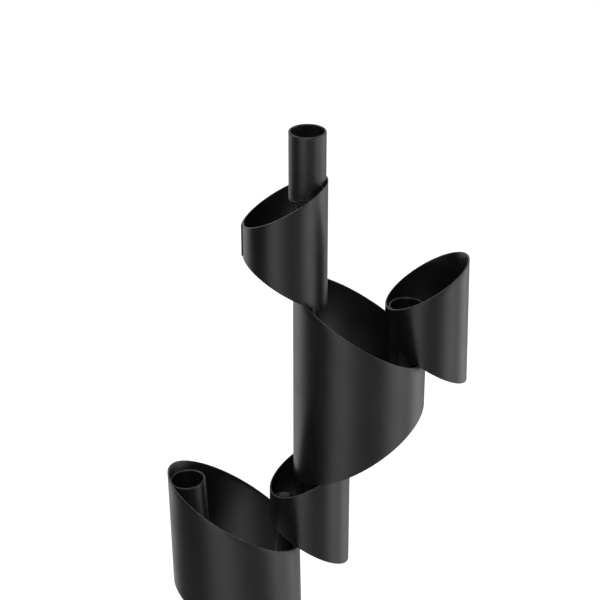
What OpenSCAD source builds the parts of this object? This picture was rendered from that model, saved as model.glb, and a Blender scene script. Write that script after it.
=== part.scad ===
// Spiral candle holder: short tubes of bent sheet, cut aslant at both ends, stand on one another's rims
// and turn around two upright posts. Candle cups are welded inside three of the rings.
// Units are millimetres, +Z is up, and the origin is the middle of the base ring on the table.

/* [Rings] */
// Thickness of the sheet that every ring is bent from
sheet_t = 1.2; // [1:0.1:2]
// Outside diameter of the three small rings
small_ring_d = 59.2; // [56:0.2:66]
// Outside diameter of the three large rings
large_ring_d = 95.2; // [88:0.2:104]
// Height of the base ring at its middle
base_ring_h = 58; // [50:1:80]
// Height of the lower ring at its middle
lower_ring_h = 94; // [84:1:110]
// Height of the middle ring at its middle
middle_ring_h = 62; // [54:1:72]
// Height of the upper ring at its middle
upper_ring_h = 95; // [85:1:110]
// Height of the top ring at its middle
top_ring_h = 60; // [50:1:72]
// Height of the right ring at its middle
right_ring_h = 60; // [50:1:72]

/* [Slanted cuts] */
// Slope of the cut between the base ring and the lower ring, degrees down to the right
base_cut_angle = 33.3; // [28:0.1:35]
// Slope of the cut between the lower ring and the middle ring, degrees down to the right
lower_cut_angle = 33.3; // [28:0.1:35]
// Slope of the cut between the middle ring and the upper ring, degrees up to the right
middle_cut_angle = 31.2; // [28:0.1:34]
// Slope of the cut on which the top ring and the right ring stand, degrees down to the right
upper_cut_angle = 32.4; // [28:0.1:35]
// Slope of the top ring's free rim, degrees up to the right
top_rim_cut_angle = 29.7; // [25:0.1:34]
// Slope of the right ring's free rim, degrees up to the right
right_rim_cut_angle = 32.4; // [26:0.1:35]

/* [Turns seen from above] */
// Way from the lower post to the base ring's middle, degrees
base_turn_angle = 5; // [0:1:15]
// Way from the lower post to the lower ring's middle, degrees
lower_turn_angle = 189.5; // [184:0.5:196]
// Way from the lower post to the middle ring's middle, degrees
middle_turn_angle = 24.5; // [18:0.5:30]
// Way from the middle ring's middle to the upper ring's middle, degrees
upper_turn_angle = 15; // [8:1:20]
// Way from the upper ring's middle to the upper post, degrees
upper_post_turn_angle = 182; // [178:0.5:186]
// Way from the upper post to the top ring's middle, degrees
top_turn_angle = 181; // [176:1:186]
// Way from the upper ring's middle to the right cup, degrees
right_cup_turn_angle = 5; // [0:1:12]
// Way from the right cup to the right ring's middle, degrees
right_turn_angle = 12; // [4:1:16]
// Way from the lower ring's middle to the left cup, degrees
left_cup_turn_angle = 186.5; // [180:0.5:192]
// Way that the lower and base cuts face, degrees
lower_cut_turn_angle = 11.7; // [6:0.1:16]
// Way that the middle cut faces, degrees
middle_cut_turn_angle = 6; // [0:0.5:14]
// Way that the upper cut faces, degrees
upper_cut_turn_angle = 4; // [0:0.5:10]
// Way that the top ring's free rim faces, degrees
top_rim_turn_angle = -6.2; // [-10:0.1:4]
// Way that the right ring's free rim faces, degrees
right_rim_turn_angle = -2.4; // [-8:0.1:4]

/* [Leans of hand work] */
// Lean of the lower ring to the left, degrees
lower_lean_angle = 1; // [0:0.1:1.5]
// Lean of the right ring to the left, degrees
right_lean_angle = 1.2; // [0:0.1:1.5]
// Lean of the left cup to the left, degrees
left_cup_lean_angle = 3; // [1:0.1:4]

/* [Posts] */
// Outside diameter of both posts
post_d = 17.4; // [15:0.1:19]
// Wall of both posts
post_t = 1.5; // [1:0.1:2.5]
// Distance between the middles of the middle ring and the upper ring
upper_reach = 36.8; // [34:0.1:38.5]
// Height of the upper post's lower end over the middle ring's lower cut
upper_post_lift = 15; // [10:1:25]
// Depth of the lower post's upper end under the middle ring's upper cut
lower_post_drop = 11; // [9:1:20]
// Height of the domed head of each post plug
plug_dome_h = 3.6; // [2:0.1:5]
// Length of the plug's shank inside the post
plug_shank_l = 8; // [5:0.5:12]

/* [Candle cups] */
// Outside diameter of the candle cups
cup_d = 26; // [25:0.1:27]
// Wall of the candle cups
cup_t = 1.5; // [1:0.1:2]
// Length of a cup's tube
cup_l = 47.8; // [40:0.1:60]
// Thickness of the disc that closes a cup
cup_floor_t = 2.4; // [1.5:0.1:4]
// Height of the top cup's mouth over the top ring's free rim
top_cup_rise = 43.2; // [38:0.1:50]
// Height of the right cup's mouth over the upper cut
right_cup_rise = 32; // [26:0.5:38]
// Height of the left cup's mouth over the lower cut
left_cup_rise = 4.1; // [0:0.1:8]
// Distance between two turned lines on a cup
groove_pitch = 1.45; // [1.2:0.05:2]
// Depth of the deepest turned line
groove_depth = 0.14; // [0.05:0.01:0.25]

/* [Base] */
// Thickness of the base plate inside the base ring
plate_t = 5; // [3:0.5:8]
// Gap between the base plate and the ring around it
plate_gap = 0.3; // [0.2:0.1:0.6]
// Thickness of the felt pad under the base plate
felt_t = 2; // [1.5:0.5:4]
// How far the felt pad stands out under the base ring
felt_proud = 0.6; // [0.3:0.1:1]

/* [Welds] */
// Gap between a tube and the ring wall that it is welded to
weld_gap = 0.1; // [0.05:0.05:0.3]
// Radius of a weld bead
bead_r = 1.4; // [1:0.1:1.8]
// Length of a weld bead along a tube
bead_l = 14; // [8:1:20]
// Gap between a bead and the steel that it holds
bead_clear = 0.05; // [0.02:0.01:0.1]
// Depth of the lower ring's beads on the lower post under the lower cut
lower_bead_drop = 22; // [18:1:40]
// Depth of the left cup's beads under its mouth
left_bead_drop = 22; // [18:1:30]

/* [Hidden] */
$fn = 96;
// Facets round the walls that the thin weld beads are cut to
weld_facets = 240;
// What a cutting shape reaches past the shape it cuts
over = 1;
// How far a bead sinks towards each of its two walls, as a share of its radius
bead_grip_share = 0.75;
// Width of a turned line, as a share of the distance between two
groove_width_share = 0.55;
// Depth of the topmost turned line, as a share of the deepest
groove_fade_share = 0.3;
// Where the first turned line lies over the cup's lower end, in pitches
groove_start_share = 1.5;
// Least bare height under the lip, in pitches
groove_end_share = 2;

small_r = small_ring_d / 2;
large_r = large_ring_d / 2;
small_in = small_r - sheet_t;
large_in = large_r - sheet_t;
post_r = post_d / 2;
cup_r = cup_d / 2;
cup_in = cup_r - cup_t;
cup_h = cup_l + cup_floor_t;
groove_count = floor(cup_l / groove_pitch - groove_start_share - groove_end_share);
plate_r = large_in - plate_gap;

function arm(r, a) = [r * cos(a), r * sin(a)];
// Height of a slanted cut over a point of the plan; a cut is [middle, height, slope, way it faces]
function cut_z(cut, c) = cut[1] + tan(cut[2]) * ((c - cut[0]) * arm(1, cut[3]));

// How far a leaning piece's middle has moved at a height over the point that it leans about
function drift(lean_angle, rise) = [-tan(lean_angle) * rise, 0];

// Reach from a ring's middle to a tube that leans on its wall from inside
small_post_reach = small_in - post_r - weld_gap;
large_post_reach = large_in - post_r - weld_gap;
small_cup_reach = small_in - cup_r - weld_gap;
large_cup_reach = large_in - cup_r - weld_gap;

// Middles of the rings, posts and cups in plan
base_c = [0, 0];
lower_post_c = base_c - arm(large_post_reach, base_turn_angle);
lower_c = lower_post_c + arm(large_post_reach, lower_turn_angle);
middle_c = lower_post_c + arm(small_post_reach, middle_turn_angle);
upper_c = middle_c + arm(upper_reach, upper_turn_angle);
upper_post_c = upper_c + arm(large_post_reach, upper_post_turn_angle);
top_c = upper_post_c + arm(small_cup_reach, top_turn_angle);
right_cup_c = upper_c + arm(large_cup_reach, right_cup_turn_angle);
right_c = right_cup_c + arm(small_cup_reach, right_turn_angle);
left_cup_arm = arm(large_cup_reach, left_cup_turn_angle);

// Slanted cuts, from the table up: each ring stands on the cut under it
cut_base = [base_c, base_ring_h, -base_cut_angle, lower_cut_turn_angle];
cut_lower = [lower_c, cut_z(cut_base, lower_c) + lower_ring_h, -lower_cut_angle, lower_cut_turn_angle];
cut_middle = [middle_c, cut_z(cut_lower, middle_c) + middle_ring_h, middle_cut_angle, middle_cut_turn_angle];
cut_upper = [upper_c, cut_z(cut_middle, upper_c) + upper_ring_h, -upper_cut_angle, upper_cut_turn_angle];
rim_top = [top_c, cut_z(cut_upper, top_c) + top_ring_h, top_rim_cut_angle, top_rim_turn_angle];
rim_right = [right_c, cut_z(cut_upper, right_c) + right_ring_h, right_rim_cut_angle, right_rim_turn_angle];
floor_cut = [base_c, felt_proud, 0, 0];

top_cup_z = cut_z(rim_top, upper_post_c) + top_cup_rise - cup_h;
right_cup_z = cut_z(cut_upper, right_cup_c) + right_cup_rise - cup_h;
left_cup_z = cut_z(cut_lower, lower_c + left_cup_arm) + left_cup_rise - cup_h;
// Heights that the leaning rings lean about: where each meets a tube on its lower or upper cut
lower_lean_z = cut_z(cut_lower, lower_post_c);
right_lean_z = cut_z(cut_upper, right_cup_c);
left_cup_c = lower_c + drift(lower_lean_angle, left_cup_z + cup_h - lower_lean_z) + left_cup_arm;
upper_post_z = cut_z(cut_lower, upper_post_c) + upper_post_lift;
lower_post_z = felt_t + plate_t;
lower_post_top = cut_z(cut_middle, lower_post_c) - lower_post_drop;

steel = "#1b1b1c";
weld_steel = "#262627";
felt = "#141414";

// A block of side s that fills the space over a slanted cut, or under it when flip is 180
module beyond(cut, s, flip = 0) {
    translate([cut[0][0], cut[0][1], cut[1]])
        rotate([0, 0, cut[3]])
            rotate([0, -cut[2], 0])
                rotate([flip, 0, 0])
                    translate([-s, -s, 0])
                        cube([2 * s, 2 * s, 2 * s]);
}

// Children stand about the point c at height z and lean to the left about it
module leaning(c, z, lean_angle) {
    translate([c[0], c[1], z])
        rotate([0, -lean_angle, 0])
            children();
}

// A length of round tube cut aslant at both ends, which leans about its middle at height lean_z
module ring(c, r, lower, upper, lean_angle = 0, lean_z = 0) {
    low = cut_z(lower, c) - r * (tan(abs(lower[2])) + tan(lean_angle)) - over;
    high = cut_z(upper, c) + r * (tan(abs(upper[2])) + tan(lean_angle)) + over;
    difference() {
        leaning(c, lean_z, lean_angle)
            translate([0, 0, low - lean_z])
                cylinder(r = r, h = high - low);
        leaning(c, lean_z, lean_angle)
            translate([0, 0, low - lean_z - over])
                cylinder(r = r - sheet_t, h = high - low + 2 * over);
        beyond(upper, high - low + 2 * norm(c - upper[0]) + 2 * r);
        beyond(lower, high - low + 2 * norm(c - lower[0]) + 2 * r, 180);
    }
}

// A post's tube from height low to height high
module post(c, low, high) {
    translate([c[0], c[1], low])
        difference() {
            cylinder(r = post_r, h = high - low);
            translate([0, 0, -over])
                cylinder(r = post_r - post_t, h = high - low + 2 * over);
        }
}

// Depth of turned line i, which grows towards the cup's lower end
function groove_d(i) = groove_depth * (1 - (1 - groove_fade_share) * i / groove_count);
function groove_z(i) = (i + groove_start_share) * groove_pitch;

// A candle cup's tube with a rounded lip and fine turned lines round it, which leans about its mouth
module cup(c, z, lean_angle = 0) {
    half_w = groove_pitch * groove_width_share / 2;
    lip_r = cup_t / 2;
    lip_z = cup_l - lip_r;
    grooves = [for (i = [0 : groove_count - 1])
        for (p = [[0, -half_w], [groove_d(i), 0], [0, half_w]])
            [cup_r - p[0], groove_z(i) + p[1]]];
    leaning(c, z + cup_h, lean_angle)
        translate([0, 0, -cup_l]) {
            rotate_extrude()
                polygon(concat([[cup_in, 0], [cup_r, 0]], grooves, [[cup_r, lip_z], [cup_in, lip_z]]));
            translate([0, 0, lip_z])
                rotate_extrude()
                    translate([cup_in + lip_r, 0])
                        intersection() {
                            circle(r = lip_r);
                            translate([-lip_r, 0])
                                square([2 * lip_r, lip_r]);
                        }
        }
}

module cup_floor(c, z, lean_angle = 0) {
    leaning(c, z + cup_h, lean_angle)
        translate([0, 0, -cup_h])
            cylinder(r = cup_r, h = cup_floor_t);
}

// A plug with a low domed head; its shank points down, or up when flip is 180
module plug(c, z, flip = 0) {
    shank_r = post_r - post_t - weld_gap;
    dome_r = (shank_r * shank_r + plug_dome_h * plug_dome_h) / (2 * plug_dome_h);
    translate([c[0], c[1], z])
        rotate([flip, 0, 0]) {
            translate([0, 0, -plug_shank_l])
                cylinder(r = shank_r, h = plug_shank_l);
            intersection() {
                translate([0, 0, plug_dome_h - dome_r])
                    sphere(r = dome_r);
                cylinder(r = shank_r, h = plug_dome_h + over);
            }
        }
}

// A pair of beads in the two corners where a tube leans on a ring's wall from inside; the middles of
// ring and tube are those at the beads' half height, and the beads are cut to walls that lean
module tube_welds(ring_c, ring_in, tube_c, tube_r, z, ring_lean_angle = 0, tube_lean_angle = 0) {
    $fn = weld_facets;
    reach = norm(tube_c - ring_c);
    way = atan2(tube_c[1] - ring_c[1], tube_c[0] - ring_c[0]);
    to_ring = ring_in - bead_r * bead_grip_share;
    to_tube = tube_r + bead_r * bead_grip_share;
    off = acos((to_ring * to_ring + reach * reach - to_tube * to_tube) / (2 * to_ring * reach));
    for (side = [-1, 1])
        difference() {
            intersection() {
                translate(concat(ring_c + arm(to_ring, way + side * off), [z]))
                    cylinder(r = bead_r, h = bead_l);
                leaning(ring_c, z + bead_l / 2, ring_lean_angle)
                    cylinder(r = ring_in - bead_clear, h = 2 * bead_l, center = true);
            }
            leaning(tube_c, z + bead_l / 2, tube_lean_angle)
                cylinder(r = tube_r + bead_clear, h = 2 * bead_l, center = true);
        }
}

// Beads inside the two corners where the walls of two rings cross, half over and half under the cut
module rim_welds(c1, in1, c2, in2, cut, lean1_angle = 0, lean2_angle = 0) {
    $fn = weld_facets;
    d = norm(c2 - c1);
    way = atan2(c2[1] - c1[1], c2[0] - c1[0]);
    to1 = in1 - bead_r * bead_grip_share;
    to2 = in2 - bead_r * bead_grip_share;
    off = acos((to1 * to1 + d * d - to2 * to2) / (2 * to1 * d));
    for (side = [-1, 1]) {
        p = c1 + arm(to1, way + side * off);
        z = cut_z(cut, p) - bead_l / 2;
        intersection() {
            translate([p[0], p[1], z])
                cylinder(r = bead_r, h = bead_l);
            leaning(c1, z + bead_l / 2, lean1_angle)
                cylinder(r = in1 - bead_clear, h = 2 * bead_l, center = true);
            leaning(c2, z + bead_l / 2, lean2_angle)
                cylinder(r = in2 - bead_clear, h = 2 * bead_l, center = true);
        }
    }
}

module base_ring() { color(steel) ring(base_c, large_r, floor_cut, cut_base); }
module middle_ring() { color(steel) ring(middle_c, small_r, cut_lower, cut_middle); }
module upper_ring() { color(steel) ring(upper_c, large_r, cut_middle, cut_upper); }
module top_ring() { color(steel) ring(top_c, small_r, cut_upper, rim_top); }

module lower_ring() {
    color(steel)
        ring(lower_c, large_r, cut_base, cut_lower, lower_lean_angle, lower_lean_z);
}

module right_ring() {
    color(steel)
        ring(right_c, small_r, cut_upper, rim_right, right_lean_angle, right_lean_z);
}

module lower_post() { color(steel) post(lower_post_c, lower_post_z, lower_post_top); }
module upper_post() { color(steel) post(upper_post_c, upper_post_z, top_cup_z); }
module lower_post_plug() { color(steel) plug(lower_post_c, lower_post_top); }
module upper_post_plug() { color(steel) plug(upper_post_c, upper_post_z, 180); }

module top_cup() { color(steel) cup(upper_post_c, top_cup_z); }
module right_cup() { color(steel) cup(right_cup_c, right_cup_z); }
module left_cup() { color(steel) cup(left_cup_c, left_cup_z, left_cup_lean_angle); }
module top_cup_floor() { color(steel) cup_floor(upper_post_c, top_cup_z); }
module right_cup_floor() { color(steel) cup_floor(right_cup_c, right_cup_z); }
module left_cup_floor() { color(steel) cup_floor(left_cup_c, left_cup_z, left_cup_lean_angle); }

module base_plate() {
    color(steel)
        translate([base_c[0], base_c[1], felt_t])
            cylinder(r = plate_r, h = plate_t);
}

module felt_pad() {
    color(felt)
        translate([base_c[0], base_c[1], 0])
            cylinder(r = plate_r, h = felt_t);
}

module top_cup_welds() { color(weld_steel) tube_welds(top_c, small_in, upper_post_c, cup_r, top_cup_z); }

module right_cup_welds() {
    ring_z = right_cup_z + cup_h - bead_l - cup_r;
    ring_c = right_c + drift(right_lean_angle, ring_z + bead_l / 2 - right_lean_z);
    color(weld_steel) {
        tube_welds(upper_c, large_in, right_cup_c, cup_r, right_cup_z);
        tube_welds(ring_c, small_in, right_cup_c, cup_r, ring_z, right_lean_angle);
    }
}

module left_cup_welds() {
    mouth_z = left_cup_z + cup_h;
    z = mouth_z - left_bead_drop;
    ring_c = lower_c + drift(lower_lean_angle, z + bead_l / 2 - lower_lean_z);
    cup_c = left_cup_c + drift(left_cup_lean_angle, z + bead_l / 2 - mouth_z);
    color(weld_steel)
        tube_welds(ring_c, large_in, cup_c, cup_r, z, lower_lean_angle, left_cup_lean_angle);
}

module upper_post_welds() {
    color(weld_steel)
        tube_welds(upper_c, large_in, upper_post_c, post_r, cut_z(cut_middle, upper_post_c) + bead_l);
}

module lower_post_welds() {
    z = lower_lean_z - lower_bead_drop;
    ring_c = lower_c + drift(lower_lean_angle, z + bead_l / 2 - lower_lean_z);
    color(weld_steel) {
        tube_welds(base_c, large_in, lower_post_c, post_r, lower_post_z + bead_r);
        tube_welds(ring_c, large_in, lower_post_c, post_r, z, lower_lean_angle);
        tube_welds(middle_c, small_in, lower_post_c, post_r, lower_post_top - bead_l);
    }
}

module top_rim_welds() { color(weld_steel) rim_welds(top_c, small_in, upper_c, large_in, cut_upper); }

module right_rim_welds() {
    ring_c = right_c + drift(right_lean_angle, cut_z(cut_upper, right_c) - right_lean_z);
    color(weld_steel) rim_welds(ring_c, small_in, upper_c, large_in, cut_upper, right_lean_angle);
}

module middle_rim_welds() { color(weld_steel) rim_welds(middle_c, small_in, upper_c, large_in, cut_middle); }

module lower_rim_welds() {
    ring_c = lower_c + drift(lower_lean_angle, cut_z(cut_lower, middle_c) - lower_lean_z);
    color(weld_steel) rim_welds(middle_c, small_in, ring_c, large_in, cut_lower, 0, lower_lean_angle);
}

module base_rim_welds() {
    ring_c = lower_c + drift(lower_lean_angle, cut_z(cut_base, lower_post_c) - lower_lean_z);
    color(weld_steel) rim_welds(ring_c, large_in, base_c, large_in, cut_base, lower_lean_angle);
}

base_ring();
lower_ring();
middle_ring();
upper_ring();
top_ring();
right_ring();
lower_post();
upper_post();
lower_post_plug();
upper_post_plug();
top_cup();
right_cup();
left_cup();
top_cup_floor();
right_cup_floor();
left_cup_floor();
base_plate();
felt_pad();
top_cup_welds();
right_cup_welds();
left_cup_welds();
upper_post_welds();
lower_post_welds();
top_rim_welds();
right_rim_welds();
middle_rim_welds();
lower_rim_welds();
base_rim_welds();
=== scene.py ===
import math

import bpy
import numpy as np
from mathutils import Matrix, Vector


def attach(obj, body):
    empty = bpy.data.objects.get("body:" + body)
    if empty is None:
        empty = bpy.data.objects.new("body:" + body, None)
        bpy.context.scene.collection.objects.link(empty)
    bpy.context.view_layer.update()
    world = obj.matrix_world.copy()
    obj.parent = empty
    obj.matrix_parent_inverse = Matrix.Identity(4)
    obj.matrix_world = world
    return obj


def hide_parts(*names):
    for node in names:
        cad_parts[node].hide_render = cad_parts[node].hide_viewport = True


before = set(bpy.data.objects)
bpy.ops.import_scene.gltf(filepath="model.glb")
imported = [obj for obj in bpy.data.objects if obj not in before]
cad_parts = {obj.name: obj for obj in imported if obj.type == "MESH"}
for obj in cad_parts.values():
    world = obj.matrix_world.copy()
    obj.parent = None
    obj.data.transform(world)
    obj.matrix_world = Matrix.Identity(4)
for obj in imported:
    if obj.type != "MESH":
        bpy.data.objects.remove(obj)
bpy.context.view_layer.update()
mm = 0.001
print("frame loaded")


def linear(hexText):
    # an sRGB hex colour to the linear one that the shader takes
    parts = [int(hexText[i:i + 2], 16) / 255 for i in (0, 2, 4)]
    return [c / 12.92 if c <= 0.04045 else ((c + 0.055) / 1.055) ** 2.4 for c in parts] + [1.0]


def addNode(tree, kind, inputs=None, **settings):
    # one node with its settings; an input takes a value, or a (node, output) pair to be linked
    node = tree.nodes.new(kind)
    for key, value in settings.items():
        setattr(node, key, value)
    for key, value in (inputs or {}).items():
        if isinstance(value, tuple) and isinstance(value[0], bpy.types.Node):
            tree.links.new(value[0].outputs[value[1]], node.inputs[key])
        else:
            node.inputs[key].default_value = value
    return node


def startMaterial(name):
    material = bpy.data.materials.new(name)
    material.use_nodes = True
    material.node_tree.nodes.clear()
    return material, material.node_tree


mixFactor, mixA, mixB, mixColour = 0, 6, 7, 2  # sockets of a Mix node that mixes colours


# Black polyester powder coat on sheet steel: satin, with a fine orange peel from the oven,
# a few specks of dust, and a thin coat where the cut rims were ground and handled.
coat = {
    "colour": "0c0c0d",
    "cloudColour": "101011",
    "rubbedColour": "5e5e60",
    "speckColour": "2e2e30",
    "roughLow": 0.30,
    "roughHigh": 0.38,
    "ior": 1.5,
    "peelSize": 1.2 * mm,
    "peelDepth": 0.004 * mm,
    "cloudSize": 26 * mm,
    "cloudFrom": 0.3,
    "cloudFull": 0.7,
    "speckSize": 8 * mm,
    "speckReach": 0.05,
    "speckCore": 0.03,
    "nickSize": 1.4 * mm,
    "nickFrom": 0.5,
    "nickFull": 0.72,
}


def powderCoat():
    material, tree = startMaterial("blackPowderCoat")
    place = (addNode(tree, "ShaderNodeTexCoord"), "Object")
    clouds = addNode(tree, "ShaderNodeTexNoise",
                     {"Vector": place, "Scale": 1 / coat["cloudSize"], "Detail": 3.0})
    peel = addNode(tree, "ShaderNodeTexNoise",
                   {"Vector": place, "Scale": 1 / coat["peelSize"], "Detail": 1.0})
    nicks = addNode(tree, "ShaderNodeTexNoise",
                    {"Vector": place, "Scale": 1 / coat["nickSize"], "Detail": 3.0})
    specks = addNode(tree, "ShaderNodeTexVoronoi",
                     {"Vector": place, "Scale": 1 / coat["speckSize"]})
    rim = addNode(tree, "ShaderNodeAttribute", attribute_name="wear")
    worn = addNode(tree, "ShaderNodeMapRange",
                   {"Value": (nicks, 0), "From Min": coat["nickFrom"],
                    "From Max": coat["nickFull"]})
    wornRim = addNode(tree, "ShaderNodeMath",
                      {0: (worn, 0), 1: (rim, "Fac")}, operation="MULTIPLY")
    dot = addNode(tree, "ShaderNodeMapRange",
                  {"Value": (specks, "Distance"), "From Min": coat["speckReach"],
                   "From Max": coat["speckCore"]})
    base = addNode(tree, "ShaderNodeMix",
                   {mixFactor: (clouds, 0), mixA: linear(coat["colour"]),
                    mixB: linear(coat["cloudColour"])}, data_type="RGBA")
    dotted = addNode(tree, "ShaderNodeMix",
                     {mixFactor: (dot, 0), mixA: (base, mixColour),
                      mixB: linear(coat["speckColour"])}, data_type="RGBA")
    rubbed = addNode(tree, "ShaderNodeMix",
                     {mixFactor: (wornRim, 0), mixA: (dotted, mixColour),
                      mixB: linear(coat["rubbedColour"])}, data_type="RGBA")
    rough = addNode(tree, "ShaderNodeMapRange",
                    {"Value": (clouds, 0), "From Min": coat["cloudFrom"],
                     "From Max": coat["cloudFull"], "To Min": coat["roughLow"],
                     "To Max": coat["roughHigh"]})
    bump = addNode(tree, "ShaderNodeBump",
                   {"Height": (peel, 0), "Strength": 1.0, "Distance": coat["peelDepth"]})
    shader = addNode(tree, "ShaderNodeBsdfPrincipled",
                     {"Base Color": (rubbed, mixColour), "Roughness": (rough, 0),
                      "Normal": (bump, 0), "IOR": coat["ior"]})
    addNode(tree, "ShaderNodeOutputMaterial", {"Surface": (shader, 0)})
    return material


# The cups: the same black on turned tube, thinner, so that the tool's marks and
# the scratches of the candles show through it.
turned = {
    "colour": "0c0c0d",
    # the paler colour of the marks and the lip band, also painted on the ridges between the turned
    # lines as their highlight, with the grooves left dark as painted shade
    "ridgeColour": "28282a",
    "rough": 0.34,
    "ior": 1.5,
    "toolMarkWidth": 0.725 * mm,
    "scratchWidth": 0.9 * mm,
    "scratchLength": 14 * mm,
    "scratchDepth": 0.01 * mm,
    "scratchTurn": (38, 25, 0),
    "markFrom": 1.0,
    "markFull": 1.35,
    "markShare": 0.5,
}


def turnedCoat():
    material, tree = startMaterial("blackTurnedTube")
    place = addNode(tree, "ShaderNodeTexCoord")
    width, length = turned["scratchWidth"], turned["scratchLength"]
    scratchTurn = [math.radians(angle) for angle in turned["scratchTurn"]]
    alongScratch = addNode(tree, "ShaderNodeMapping",
                           {"Vector": (place, "Object"), "Rotation": scratchTurn,
                            "Scale": (1 / width, 1 / width, 1 / length)})
    scratches = addNode(tree, "ShaderNodeTexNoise",
                        {"Vector": (alongScratch, 0), "Scale": 1.0, "Detail": 2.0})
    roundTheTube = addNode(tree, "ShaderNodeMapping",
                           {"Vector": (place, "Object"),
                            "Scale": (1 / length, 1 / length, 1 / turned["toolMarkWidth"])})
    toolMarks = addNode(tree, "ShaderNodeTexNoise",
                        {"Vector": (roundTheTube, 0), "Scale": 1.0, "Detail": 2.0})
    marks = addNode(tree, "ShaderNodeMath",
                    {0: (scratches, 0), 1: (toolMarks, 0)}, operation="ADD")
    # the wear attribute holds the cups' lip band and the painted highlight of their ridges
    worn = addNode(tree, "ShaderNodeAttribute", attribute_name="wear")
    marked = addNode(tree, "ShaderNodeMapRange",
                     {"Value": (marks, 0), "From Min": turned["markFrom"],
                      "From Max": turned["markFull"], "To Max": turned["markShare"]})
    marksAndPaintedRidges = addNode(tree, "ShaderNodeMath",
                   {0: (marked, 0), 1: (worn, "Fac")}, operation="MAXIMUM")
    base = addNode(tree, "ShaderNodeMix",
                   {mixFactor: (marksAndPaintedRidges, 0), mixA: linear(turned["colour"]),
                    mixB: linear(turned["ridgeColour"])}, data_type="RGBA")
    bump = addNode(tree, "ShaderNodeBump",
                   {"Height": (marks, 0), "Strength": 1.0, "Distance": turned["scratchDepth"]})
    shader = addNode(tree, "ShaderNodeBsdfPrincipled",
                     {"Base Color": (base, mixColour), "Roughness": turned["rough"],
                      "Normal": (bump, 0), "IOR": turned["ior"]})
    addNode(tree, "ShaderNodeOutputMaterial", {"Surface": (shader, 0)})
    return material


# Welds under the coat: the ripples of a hand-held torch, a little rougher than the sheet.
weld = {
    "colour": "161617",
    "rough": 0.45,
    "rippleStep": 2.6 * mm,
    "rippleDepth": 0.15 * mm,
    "rippleWander": 1.5,
}


def coatedWeld():
    material, tree = startMaterial("coatedWeld")
    place = addNode(tree, "ShaderNodeTexCoord")
    waveFactor = 20  # a wave texture repeats after a whole turn over 20 times its scale
    ripples = addNode(tree, "ShaderNodeTexWave",
                      {"Vector": (place, "Object"),
                       "Scale": math.tau / (waveFactor * weld["rippleStep"]),
                       "Distortion": weld["rippleWander"], "Detail Scale": 2.0},
                      bands_direction="Z")
    bump = addNode(tree, "ShaderNodeBump",
                   {"Height": (ripples, "Fac"), "Strength": 1.0, "Distance": weld["rippleDepth"]})
    shader = addNode(tree, "ShaderNodeBsdfPrincipled",
                     {"Base Color": linear(weld["colour"]), "Roughness": weld["rough"],
                      "Normal": (bump, 0)})
    addNode(tree, "ShaderNodeOutputMaterial", {"Surface": (shader, 0)})
    return material


# Black wool felt under the plate: matted fibres that give it no gloss but a soft sheen.
# The fibres are drawn coarser than they are, so that they show.
felt = {
    "darkColour": "0e0e0e",
    "fibreColour": "242424",
    "fibreSize": 0.7 * mm,
    "fibreDepth": 0.3 * mm,
    "fibreTangle": 2.0,
    "rough": 0.95,
    "sheen": 0.3,
}


def woolFelt():
    material, tree = startMaterial("blackWoolFelt")
    place = addNode(tree, "ShaderNodeTexCoord")
    fibres = addNode(tree, "ShaderNodeTexNoise",
                     {"Vector": (place, "Object"), "Scale": 1 / felt["fibreSize"], "Detail": 4.0,
                      "Distortion": felt["fibreTangle"]})
    base = addNode(tree, "ShaderNodeMix",
                   {mixFactor: (fibres, 0), mixA: linear(felt["darkColour"]),
                    mixB: linear(felt["fibreColour"])}, data_type="RGBA")
    bump = addNode(tree, "ShaderNodeBump",
                   {"Height": (fibres, 0), "Strength": 1.0, "Distance": felt["fibreDepth"]})
    shader = addNode(tree, "ShaderNodeBsdfPrincipled",
                     {"Base Color": (base, mixColour), "Roughness": felt["rough"],
                      "Normal": (bump, 0), "Sheen Weight": felt["sheen"]})
    addNode(tree, "ShaderNodeOutputMaterial", {"Surface": (shader, 0)})
    return material


coatMaterial = powderCoat()
turnedMaterial = turnedCoat()
weldMaterial = coatedWeld()
feltMaterial = woolFelt()
print("materials made")


def cornersOf(node):
    return np.array([v.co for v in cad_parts[node].data.vertices])


# Leans of the hand-welded pieces to the left, in degrees, as their solids have them.
leans = {"lower_ring": 1.0, "right_ring": 1.2, "left_cup": 3.0, "left_cup_floor": 3.0}


def ownFrame(node):
    # a node's axes (across, away, along its lean) and its corners measured along them
    lean = math.radians(leans.get(node, 0))
    axes = np.array([[math.cos(lean), 0, math.sin(lean)], [0, 1, 0],
                     [-math.sin(lean), 0, math.cos(lean)]])
    return axes, cornersOf(node) @ axes.T


def surfaceFromGrid(points, closed=True):
    # points[row, column] is a surface of quads round an axis: its columns run round the axis, and
    # its rows run up the outside. Closed rows meet again, as on a tube; open rows end in two poles.
    rows, columns = points.shape[:2]
    row = np.arange(rows if closed else rows - 1)[:, None]
    column = np.arange(columns)[None, :]
    nextRow = (row + 1) % rows
    nextColumn = (column + 1) % columns
    quads = np.stack([row * columns + column, row * columns + nextColumn,
                      nextRow * columns + nextColumn, nextRow * columns + column], -1)
    corners = points.reshape(-1, 3)
    faces = quads.reshape(-1, 4).tolist()
    if not closed:
        last = (rows - 1) * columns
        corners = np.vstack([corners, points[0].mean(0), points[-1].mean(0)])
        around = np.stack([column[0], nextColumn[0]], -1)
        faces += [[rows * columns, b, a] for a, b in around.tolist()]
        faces += [[rows * columns + 1, last + a, last + b] for a, b in around.tolist()]
    return corners, faces


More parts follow.
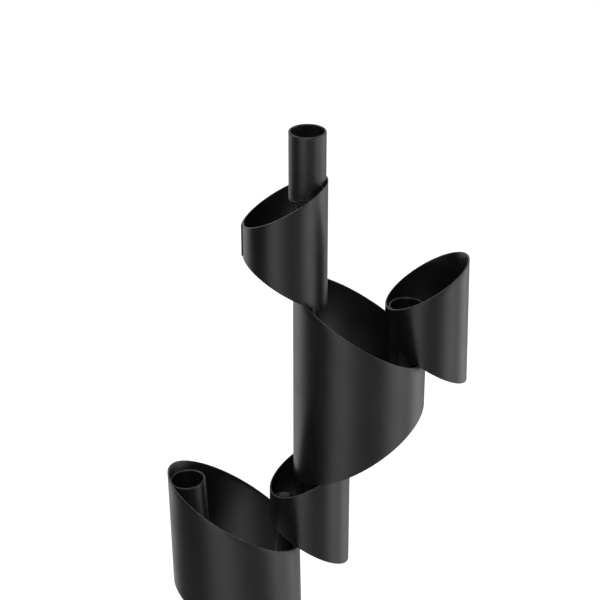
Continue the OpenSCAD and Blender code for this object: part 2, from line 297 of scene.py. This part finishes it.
def makePiece(node, surfaces, marks, material):
    # one mesh of one or more surfaces in the node's place, named topCupFloor for top_cup_floor;
    # marks is the wear of each corner, from 0 to 1, and on the cups also the painted highlight of
    # the ridges
    words = node.split("_")
    name = words[0] + "".join(word.capitalize() for word in words[1:])
    corners, faces = [], []
    for someCorners, someFaces in surfaces:
        first = sum(len(c) for c in corners)
        corners.append(someCorners)
        faces += [[first + i for i in face] for face in someFaces]
    mesh = bpy.data.meshes.new(name)
    mesh.from_pydata(np.vstack(corners), [], faces)
    wear = mesh.attributes.new("wear", "FLOAT", "POINT")
    wear.data.foreach_set("value", np.asarray(marks, np.float32))
    mesh.polygons.foreach_set("use_smooth", np.ones(len(faces), bool))
    mesh.update()
    piece = bpy.data.objects.new(name, mesh)
    bpy.context.collection.objects.link(piece)
    piece.data.materials.append(material)
    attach(piece, "root")
    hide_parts(node)


ringLook = {
    "sheet": 1.2 * mm,
    "columns": 360,
    "wallRows": 20,
    "sectors": 24,
    "edgeRound": 0.3 * mm,
    "edgeSteps": 5,
    "wear": {"lower_ring": 0.8, "upper_ring": 0.7, "base_ring": 0.7},
    "wearElsewhere": 0.55,
    "seams": {"top_ring": 183.4},
    "seamProud": 0.9 * mm,
    "seamWidth": 30,
    "seamColumns": (-0.5, -0.12, -0.02, 0.02, 0.12, 0.5),
}


def slantedCuts(corners):
    # a ring's middle, its outer radius and its two cut planes, z = a + b x + c y, from the corners
    # of its solid: those over the middle height of their sector lie on the high cut
    centre = (corners.min(0) + corners.max(0))[:2] / 2
    way = np.arctan2(corners[:, 1] - centre[1], corners[:, 0] - centre[0])
    sectors = ringLook["sectors"]
    sector = ((way + math.pi) / math.tau * sectors).astype(int) % sectors
    middle = np.zeros(len(corners))
    for i in range(sectors):
        inside = sector == i
        middle[inside] = (corners[inside, 2].min() + corners[inside, 2].max()) / 2
    planes = []
    for part in (corners[:, 2] < middle, corners[:, 2] > middle):
        table = np.column_stack([np.ones(part.sum()), corners[part, :2]])
        planes.append(np.linalg.lstsq(table, corners[part, 2], rcond=None)[0])
    return centre, np.ptp(corners[:, 0]) / 2, planes


def ringAngles(seam):
    # even angles, with a few more on both sides of the seam's step
    even = np.linspace(0, math.tau, ringLook["columns"], endpoint=False)
    if seam is None:
        return even
    return np.sort(np.concatenate([even, np.radians(seam + np.array(ringLook["seamColumns"]))]))


def seamRise(t, seam):
    # at the seam the sheet behind laps over the front one: it rises evenly over the seam's width
    # and ends in a sharp step that faces the front
    if seam is None:
        return np.zeros_like(t)
    behind = seam - np.degrees(t)
    return ringLook["seamProud"] * np.clip(1 - behind / ringLook["seamWidth"], 0, 1) * (behind > 0)


def ringSurface(node):
    # a wall between two slanted planes: at angle t and radius r the height runs from the low
    # plane to the high one, with quarter circles round the four edges of the wall
    axes, corners = ownFrame(node)
    centre, outer, (lowPlane, highPlane) = slantedCuts(corners)
    inner = outer - ringLook["sheet"]
    e = ringLook["edgeRound"]
    share = np.linspace(0, 1, ringLook["wallRows"])
    arc = np.linspace(0, math.pi / 2, ringLook["edgeSteps"])[1:-1]
    flat = np.zeros_like(arc)
    # one value a row: up the outer wall, over the high edge, down the inner wall, under the low edge
    radius = np.concatenate([np.full_like(share, outer), outer - e + e * np.cos(arc),
                             [outer - e, inner + e], inner + e - e * np.sin(arc),
                             np.full_like(share, inner), inner + e - e * np.cos(arc),
                             [inner + e, outer - e], outer - e + e * np.sin(arc)])
    shares = np.concatenate([share, flat + 1, [1, 1], flat + 1, share[::-1], flat, [0, 0], flat])
    lift = np.concatenate([e - 2 * e * share, e * np.sin(arc) - e, [0, 0], e * np.cos(arc) - e,
                           (e - 2 * e * share)[::-1], e - e * np.sin(arc), [0, 0],
                           e - e * np.cos(arc)])
    edge = np.concatenate([share * 0, flat + 1, [1, 1], flat + 1,
                           share * 0, flat + 1, [1, 1], flat + 1])
    edge *= ringLook["wear"].get(node, ringLook["wearElsewhere"])
    seam = ringLook["seams"].get(node)
    t = ringAngles(seam)
    outside = (radius > inner + e)[:, None]
    r = radius[:, None] + seamRise(t, seam) * outside
    x = centre[0] + r * np.cos(t)
    y = centre[1] + r * np.sin(t)
    low = lowPlane[0] + lowPlane[1] * x + lowPlane[2] * y
    high = highPlane[0] + highPlane[1] * x + highPlane[2] * y
    z = low + (high - low) * shares[:, None] + lift[:, None]
    wall = surfaceFromGrid(np.stack([x, y, z], -1) @ axes)
    makePiece(node, [wall], np.repeat(edge, len(t)), coatMaterial)


for node in ("base_ring", "lower_ring", "middle_ring", "upper_ring", "top_ring", "right_ring"):
    ringSurface(node)
print("rings made")


def noWear(section, outer, high):
    return np.zeros(len(section))


def turnedPiece(node, outline, material, closed=True, columns=128, wear=noWear):
    # a turned piece: outline(radius, low, high) gives its section as (radius, height) points,
    # which turn about the node's own axis, and wear gives the wear of each of them, which on the
    # cups also holds the painted highlight of the ridges
    axes, corners = ownFrame(node)
    low, high = corners.min(0), corners.max(0)
    centre = (low + high)[:2] / 2
    outer = (high[0] - low[0]) / 2
    section = np.array(outline(outer, low[2], high[2]))
    t = np.linspace(0, math.tau, columns, endpoint=False)
    x = centre[0] + section[:, :1] * np.cos(t)
    y = centre[1] + section[:, :1] * np.sin(t)
    z = np.repeat(section[:, 1:2], columns, 1)
    surface = surfaceFromGrid(np.stack([x, y, z], -1) @ axes, closed)
    marks = np.repeat(wear(section, outer, high[2]), columns)
    poles = len(surface[0]) - len(marks)
    makePiece(node, [surface], np.pad(marks, (0, poles)), material)


def quarter(centreR, centreZ, radius, start, steps=6):
    # a quarter circle of section points that starts at the given angle and turns left
    t = np.radians(start) + np.linspace(0, math.pi / 2, steps)
    return [(centreR + radius * math.cos(a), centreZ + radius * math.sin(a)) for a in t]


cupLook = {
    "wall": 1.5 * mm,
    "linePitch": 1.45 * mm,
    "lineDepth": 0.18 * mm,
    "lineFade": 0.5,
    # how much painted highlight the ridges between the turned lines get
    "ridgeWear": 0.35,
    "lipWorn": 0.6 * mm,
    "footBand": 2.2 * mm,
    "rowsPerLine": 8,
    "innerRows": 24,
    "columns": 192,
    "edgeRound": 0.3 * mm,
}


def cupOutline(outer, low, high):
    # the outer wall is dented by rounded turned lines, deepest at the foot, under a rolled lip
    wall = cupLook["wall"]
    e = cupLook["edgeRound"]
    lip = wall / 2
    first = low + cupLook["footBand"]
    count = int((high - lip - first) / cupLook["linePitch"])
    last = first + count * cupLook["linePitch"]
    height = np.linspace(first, last, count * cupLook["rowsPerLine"] + 1)
    up = (height - first) / (last - first)
    depth = cupLook["lineDepth"] * (1 - (1 - cupLook["lineFade"]) * up)
    ridge = np.clip(np.cos((height - first) / cupLook["linePitch"] * math.tau), 0, 1)
    inside = np.linspace(high - lip, low + e, cupLook["innerRows"])[1:]
    section = quarter(outer - e, low + e, e, -90)
    section += np.column_stack([outer - depth * (1 - ridge), height]).tolist()
    section += quarter(outer - lip, high - lip, lip, 0)
    section += quarter(outer - lip, high - lip, lip, 90)[1:]
    section += [(outer - wall, z) for z in inside]
    return section + quarter(outer - wall + e, low + e, e, 180)[1:]


def cupLipAndPaintedRidges(section, outer, high):
    # the top of the lip is drawn in the paler colour; the ridges between the turned lines are
    # painted paler as their highlight, and the grooves stay dark as painted shade
    lip = (section[:, 1] > high - cupLook["lipWorn"]).astype(float)
    depth = outer - section[:, 0]
    ridges = np.clip(1 - depth / cupLook["lineDepth"], 0, 1)
    return np.maximum(lip, cupLook["ridgeWear"] * ridges)


for node in ("top_cup", "right_cup", "left_cup"):
    turnedPiece(node, cupOutline, turnedMaterial,
                columns=cupLook["columns"], wear=cupLipAndPaintedRidges)
print("cups made")


discLook = {
    "chamfer": 0.4 * mm,
    "plateChamfer": 1.0 * mm,
    "faceShares": (0.02, 0.5),
}


def discOutline(chamfer):
    # a solid disc with its two edges broken by the given chamfer
    def outline(outer, low, high):
        inside = [(outer * share, low) for share in discLook["faceShares"]]
        edge = [(outer - chamfer, low), (outer, low + chamfer), (outer, high - chamfer),
                (outer - chamfer, high)]
        return inside + edge + [(r, high) for r, _ in inside[::-1]]
    return outline


feltLook = {
    "edgeRound": 0.6 * mm,
    "poleShare": 0.02,
}


def feltOutline(outer, low, high):
    # a pad cut with a knife and rounded by use
    e = feltLook["edgeRound"]
    pole = outer * feltLook["poleShare"]
    side = quarter(outer - e, low + e, e, -90) + quarter(outer - e, high - e, e, 0)
    return [(pole, low)] + side + [(pole, high)]


postLook = {
    "wall": 1.5 * mm,
    "edgeRound": 0.3 * mm,
}


def postOutline(outer, low, high):
    # a tube with its sawn ends filed round
    e = postLook["edgeRound"]
    inner = outer - postLook["wall"]
    side = quarter(outer - e, low + e, e, -90) + quarter(outer - e, high - e, e, 0)
    return side + quarter(inner + e, high - e, e, 90) + quarter(inner + e, low + e, e, 180)


plugLook = {
    "domeHeight": 3.6 * mm,
    "domeRows": 24,
    "domePower": 3,
    "dishDepth": 0.5 * mm,
    "dishShare": 0.62,
    "poleShare": 0.03,
}


def plugOutline(upward):
    # a cap pressed into the post: a shank, and a domed head with a shallow dish in its middle
    def outline(outer, low, high):
        across = np.linspace(1, plugLook["poleShare"], plugLook["domeRows"])
        dome = plugLook["domeHeight"] * (1 - across ** plugLook["domePower"])
        dish = plugLook["dishDepth"] * np.clip(1 - (across / plugLook["dishShare"]) ** 2, 0, 1)
        rim = high - plugLook["domeHeight"]
        head = [(outer * share, rim + rise) for share, rise in zip(across, dome - dish)]
        section = [(outer * plugLook["poleShare"], low), (outer, low)] + head
        if upward:
            return section
        return [(r, low + high - z) for r, z in section[::-1]]
    return outline


for node in ("top_cup_floor", "right_cup_floor", "left_cup_floor"):
    turnedPiece(node, discOutline(discLook["chamfer"]), turnedMaterial,
                closed=False)
turnedPiece("base_plate", discOutline(discLook["plateChamfer"]), coatMaterial,
            closed=False)
turnedPiece("felt_pad", feltOutline, feltMaterial, closed=False)
for node in ("lower_post", "upper_post"):
    turnedPiece(node, postOutline, coatMaterial)
for node, upward in (("lower_post_plug", True), ("upper_post_plug", False)):
    turnedPiece(node, plugOutline(upward), coatMaterial, closed=False)
print("posts, plugs and base made")


beadLook = {
    "radius": 1.25 * mm,
    "ripple": 0.16 * mm,
    "rippleStep": 1.1 * mm,
    "wander": 0.12 * mm,
    "wanderPace": 0.7,
    "endLength": 2.2 * mm,
    "endShare": 0.004,
    "rows": 90,
    "columns": 20,
    "apart": 3.2 * mm,
    "longest": 20 * mm,
}


def beadsOf(node):
    # the low and high corners of each bead of a weld node: its corners that lie near one upright
    left = cornersOf(node)
    beads = []
    while len(left):
        near = np.hypot(*(left - left[0])[:, :2].T) < beadLook["apart"]
        near &= np.abs(left[:, 2] - left[0, 2]) < beadLook["longest"]
        beads.append((left[near].min(0), left[near].max(0)))
        left = left[~near]
    return beads


def beadSurface(low, high, phase):
    # a round bead laid upwards: its radius steps with each dab of the rod and falls to nothing
    # at its ends as an ellipse does, and its middle wanders a little
    centre = (low + high) / 2
    up = np.linspace(beadLook["endShare"], 1 - beadLook["endShare"], beadLook["rows"])
    z = low[2] + (high[2] - low[2]) * up
    fromEnd = np.minimum(z - low[2], high[2] - z) / beadLook["endLength"]
    taper = np.sqrt(1 - np.clip(1 - fromEnd, 0, 1) ** 2)
    dab = (z - low[2]) / beadLook["rippleStep"] % 1
    radius = taper * (beadLook["radius"] - beadLook["ripple"] * (1 - dab) ** 2)
    pace = z / beadLook["rippleStep"] * beadLook["wanderPace"]
    sway = beadLook["wander"] * np.sin(pace + phase)
    t = np.linspace(0, math.tau, beadLook["columns"], endpoint=False)
    x = centre[0] + sway[:, None] + radius[:, None] * np.cos(t)
    y = centre[1] + sway[:, None] + radius[:, None] * np.sin(t)
    points = np.stack([x, y, np.repeat(z[:, None], len(t), 1)], -1)
    # the beads stay inside the space of their solid, which is cut to the two walls
    return surfaceFromGrid(np.clip(points, low, high), closed=False)


for node in [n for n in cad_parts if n.endswith("_welds")]:
    beads = [beadSurface(low, high, phase) for phase, (low, high) in enumerate(beadsOf(node))]
    makePiece(node, beads, np.zeros(sum(len(c) for c, _ in beads)), weldMaterial)
print("welds made")


# A white paper sweep between white and black cards. The camera sees plain white paper; the gloss
# of the coat sees the cards' light on it, which is why the rings shade from black to grey.
studio = {
    "floorSize": 12.0,
    "floorColour": "e6e6e6",
    "paperRough": 0.9,
    "paperGlow": 0.42,
    "skyForGloss": 0.08,
    "backdropLight": 0.9,
    "backdropFrom": 0.75,
    "backdropFull": 0.9,
    "skyForColour": 0.6,
    # each card's start and end, in degrees from the camera's side to the right, and the light
    # that it gives the paper; close to the holder the paper's light is more even
    "cards": {
        "frontBlack": (10, 35, 0.36),
        "frontRightWhite": (66, 74, 1.95),
        "rightSlit": (88, 92, 0.95),
        "rightWhite": (106, 114, 1.7),
        "backGrey": (142, 200, 0.5),
        "backLeftWhite": (226, 234, 1.0),
        "leftBlack": (264, 298, 0.05),
        "frontLeftWhite": (327, 335, 1.45),
    },
    "frontLight": 0.5,
    "evenLight": 0.45,
    "evenShareAtFoot": 0.6,
    "evenReach": 0.7,
    # each lamp's place, size in metres and watts
    "lamps": {
        "frontBox": ((0, -1.6, 1.7), (1.2, 0.8), 16),
        "leftBox": ((-1.3, 0.2, 1.6), (0.8, 0.8), 9),
        "rightBox": ((1.6, 0, 0.9), (0.8, 1.2), 12),
    },
    "lampAim": (0, 0, 0.25),
}


def whiteFloor():
    half = studio["floorSize"] / 2
    corners = [(-half, -half, 0), (half, -half, 0), (half, half, 0), (-half, half, 0)]
    mesh = bpy.data.meshes.new("floor")
    mesh.from_pydata(corners, [], [(0, 1, 2, 3)])
    floor = bpy.data.objects.new("floor", mesh)
    bpy.context.collection.objects.link(floor)
    material, tree = startMaterial("whitePaper")
    place = addNode(tree, "ShaderNodeTexCoord")
    fromCamera = addNode(tree, "ShaderNodeMapping",
                         {"Vector": (place, "Object"), "Rotation": (0, 0, math.radians(-90))})
    way = addNode(tree, "ShaderNodeTexGradient", {"Vector": (fromCamera, 0)},
                  gradient_type="RADIAL")
    cards = addNode(tree, "ShaderNodeValToRGB", {"Fac": (way, "Fac")})
    cards.color_ramp.interpolation = "EASE"
    lights = [(0, studio["frontLight"])]
    for start, end, light in studio["cards"].values():
        lights += [(start, light), (end, light)]
    lights.append((360, studio["frontLight"]))
    brightest = max(light for _, light in lights)
    stops = cards.color_ramp.elements
    while len(stops) < len(lights):
        stops.new(0.5)
    for stop, (angle, light) in zip(stops, lights):
        stop.position = angle / 360
        stop.color = (light / brightest, light / brightest, light / brightest, 1)
    ray = addNode(tree, "ShaderNodeLightPath")
    direct = addNode(tree, "ShaderNodeMath",
                     {0: (ray, "Is Camera Ray"), 1: (ray, "Is Transmission Ray")},
                     operation="MAXIMUM")
    glow = addNode(tree, "ShaderNodeMath",
                   {0: (direct, 0), 1: studio["paperGlow"]}, operation="MULTIPLY")
    paper = addNode(tree, "ShaderNodeBsdfPrincipled",
                    {"Base Color": linear(studio["floorColour"]),
                     "Roughness": studio["paperRough"], "Specular IOR Level": 0.0,
                     "Emission Color": (1, 1, 1, 1), "Emission Strength": (glow, 0)})
    away = addNode(tree, "ShaderNodeVectorMath", {0: (place, "Object")}, operation="LENGTH")
    cardShare = addNode(tree, "ShaderNodeMapRange",
                        {"Value": (away, "Value"), "From Max": studio["evenReach"],
                         "To Min": 1 - studio["evenShareAtFoot"]})
    cardLight = addNode(tree, "ShaderNodeMix",
                        {0: (cardShare, 0), 2: studio["evenLight"] / brightest,
                         3: (cards, "Color")}, data_type="FLOAT")
    litPaper = addNode(tree, "ShaderNodeEmission",
                       {"Color": (cardLight, 0), "Strength": brightest})
    shader = addNode(tree, "ShaderNodeMixShader",
                     {0: (ray, "Is Glossy Ray"), 1: (paper, 0), 2: (litPaper, 0)})
    addNode(tree, "ShaderNodeOutputMaterial", {"Surface": (shader, 0)})
    floor.data.materials.append(material)


def whiteWorld():
    # the camera sees white, and the gloss a pale backdrop behind the holder and a dim room elsewhere
    world = bpy.data.worlds.new("paleStudio")
    bpy.context.scene.world = world
    world.use_nodes = True
    tree = world.node_tree
    tree.nodes.clear()
    ray = addNode(tree, "ShaderNodeLightPath")
    place = addNode(tree, "ShaderNodeTexCoord")
    way = addNode(tree, "ShaderNodeSeparateXYZ", {"Vector": (place, "Generated")})
    room = addNode(tree, "ShaderNodeMapRange",
                   {"Value": (way, "Y"), "From Min": studio["backdropFrom"],
                    "From Max": studio["backdropFull"],
                    "To Min": studio["skyForGloss"], "To Max": studio["backdropLight"]})
    dim = addNode(tree, "ShaderNodeMix",
                  {0: (ray, "Is Glossy Ray"), 2: studio["skyForColour"], 3: (room, 0)},
                  data_type="FLOAT")
    direct = addNode(tree, "ShaderNodeMath",
                     {0: (ray, "Is Camera Ray"), 1: (ray, "Is Transmission Ray")},
                     operation="MAXIMUM")
    strength = addNode(tree, "ShaderNodeMapRange",
                       {"Value": (direct, 0), "To Min": (dim, 0), "To Max": 1.0})
    sky = addNode(tree, "ShaderNodeBackground", {"Color": (1, 1, 1, 1), "Strength": (strength, 0)})
    addNode(tree, "ShaderNodeOutputWorld", {"Surface": (sky, 0)})


def softLamp(name, place, size, watts):
    data = bpy.data.lights.new(name, "AREA")
    data.shape = "RECTANGLE"
    data.size, data.size_y = size
    data.energy = watts
    lamp = bpy.data.objects.new(name, data)
    bpy.context.collection.objects.link(lamp)
    lamp.location = place
    toAim = [a - p for a, p in zip(studio["lampAim"], place)]
    lamp.rotation_euler = Vector(toAim).to_track_quat("-Z", "Y").to_euler()


whiteFloor()
whiteWorld()
for name, (place, size, watts) in studio["lamps"].items():
    softLamp(name, place, size, watts)
print("studio lit")


# The camera of the photograph, from the edges of the rings. It looks down at its target, which is
# in the middle of the picture, straight from the front.
photoCamera = {
    "target": (-26.7 * mm, 14.4 * mm, 359.4 * mm),
    "distance": 1238 * mm,
    "down": 27.6,
    "lens": 105.2,
    "sensor": 36,
}
cameraData = bpy.data.cameras.new("photoCamera")
cameraData.lens = photoCamera["lens"]
cameraData.sensor_width = photoCamera["sensor"]
camera = bpy.data.objects.new("photoCamera", cameraData)
bpy.context.collection.objects.link(camera)
down = math.radians(photoCamera["down"])
camera.location = (photoCamera["target"][0],
                   photoCamera["target"][1] - photoCamera["distance"] * math.cos(down),
                   photoCamera["target"][2] + photoCamera["distance"] * math.sin(down))
camera.rotation_euler = (math.pi / 2 - down, 0, 0)
bpy.context.scene.camera = camera
bpy.context.scene.view_settings.view_transform = "Standard"
print("camera placed")

print("finished")
